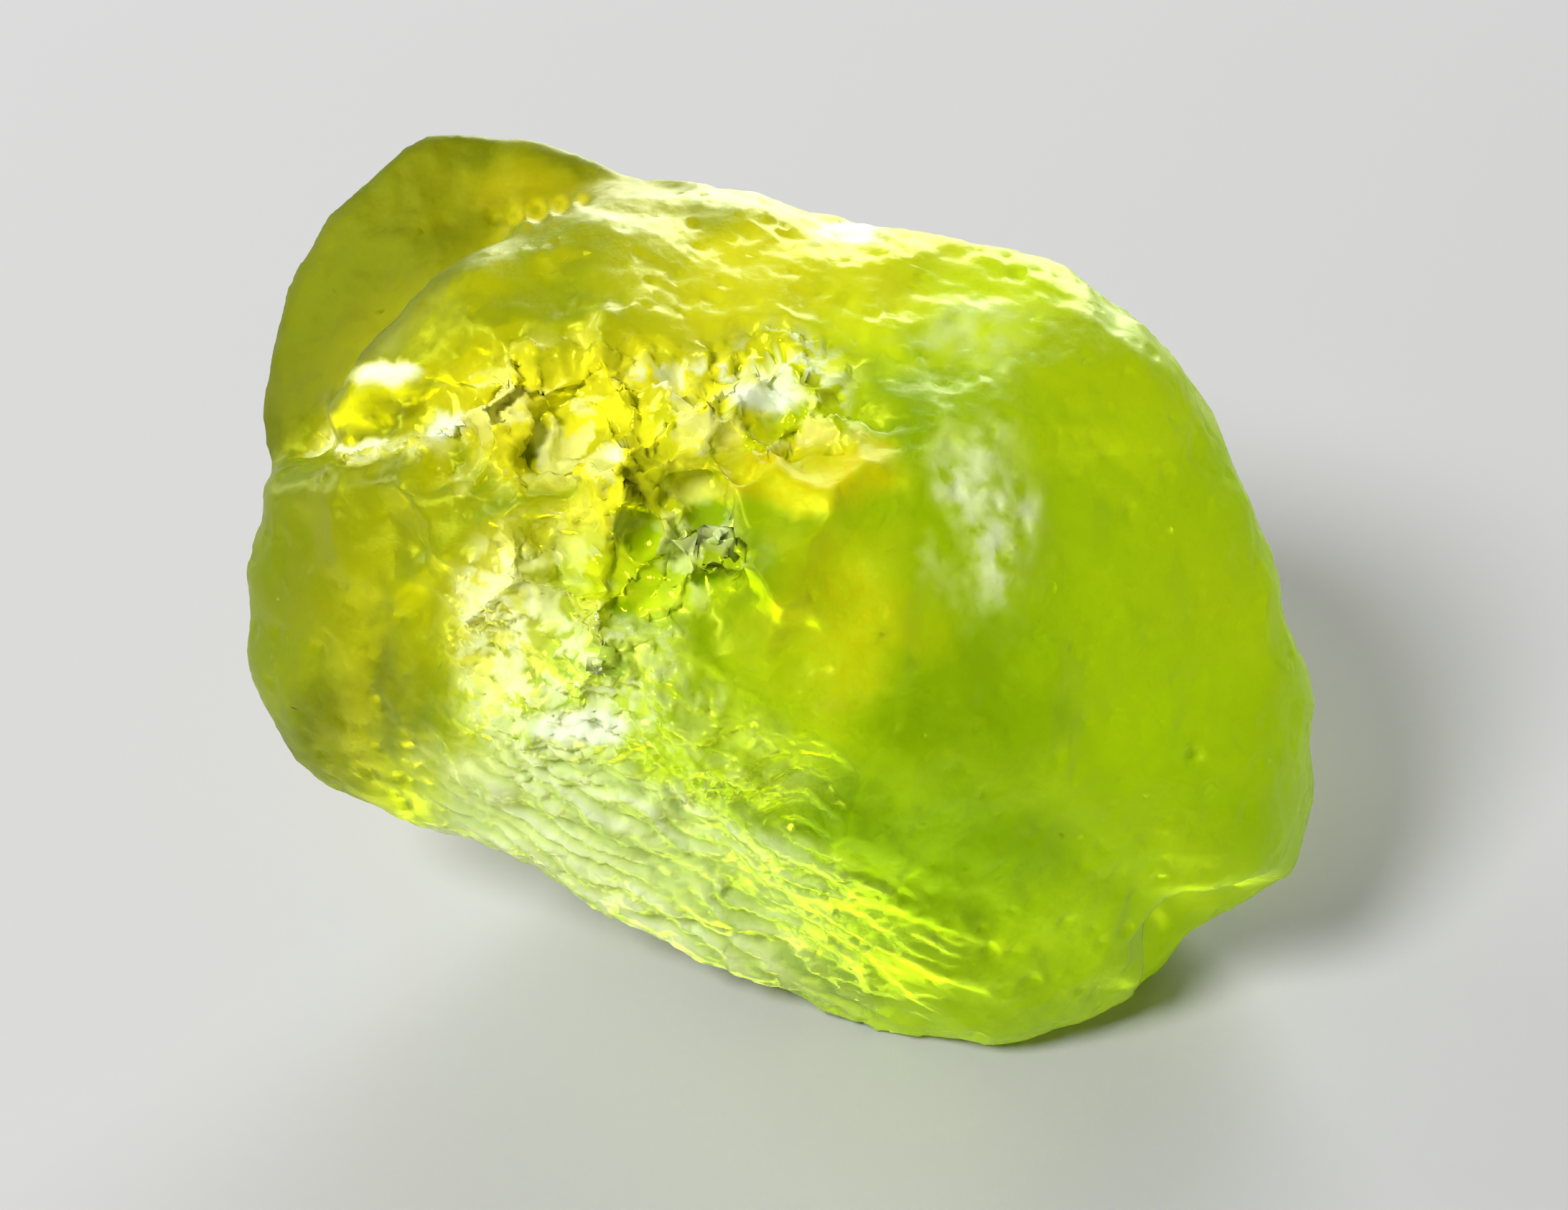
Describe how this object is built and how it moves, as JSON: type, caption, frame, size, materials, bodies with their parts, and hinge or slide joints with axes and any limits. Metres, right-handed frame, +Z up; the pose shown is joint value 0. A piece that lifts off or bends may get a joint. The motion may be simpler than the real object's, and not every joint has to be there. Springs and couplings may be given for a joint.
{
  "type": "raw peridot",
  "caption": "Chunky rough crystal of clear yellow-green peridot, with a frosted worn skin, a stepped lobe, chipped ground and a ribbed side, resting on its own worn flat.",
  "frame": {"origin": "the middle of the stone's box, on the ground under it", "axes": "+Z up from the resting flat; X along the stone's greatest length; the pictured side faces -Y and up"},
  "size_m": [0.028, 0.0178, 0.0188],
  "materials": {
    "crystal": "clear yellow-green crystal, frosted where worn and glassy where broken"
  },
  "bodies": {
    "root": {"peridot": "crystal"}
  },
  "joints": []
}
